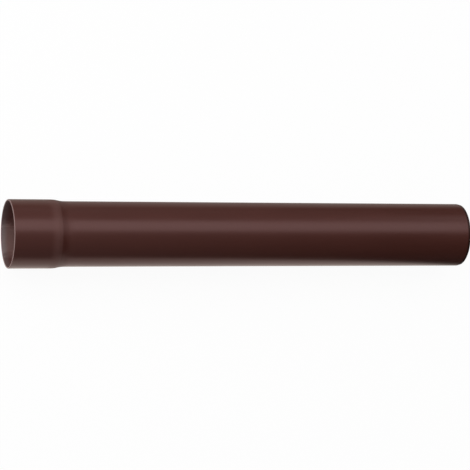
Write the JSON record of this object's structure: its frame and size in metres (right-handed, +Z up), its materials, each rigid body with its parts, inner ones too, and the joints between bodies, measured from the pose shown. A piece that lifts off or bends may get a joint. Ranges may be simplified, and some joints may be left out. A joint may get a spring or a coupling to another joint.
{
  "type": "pvc pipe",
  "caption": "Round rigid PVC downpipe, dark brown, with a push-fit socket formed on one end and a chamfered plain end.",
  "frame": {"origin": "centre of the socket's mouth, on the pipe's axis; the pipe lies level and its lowest line is 39.4 mm below", "axes": "+X along the pipe's axis from the socket's mouth to the plain end, +Z up"},
  "size_m": [0.5577, 0.0788, 0.0788],
  "materials": {
    "pipe_plastic": "smooth extruded rigid PVC, chocolate brown right through, satin gloss"
  },
  "bodies": {
    "root": {"pipe": "pipe_plastic"}
  },
  "joints": []
}
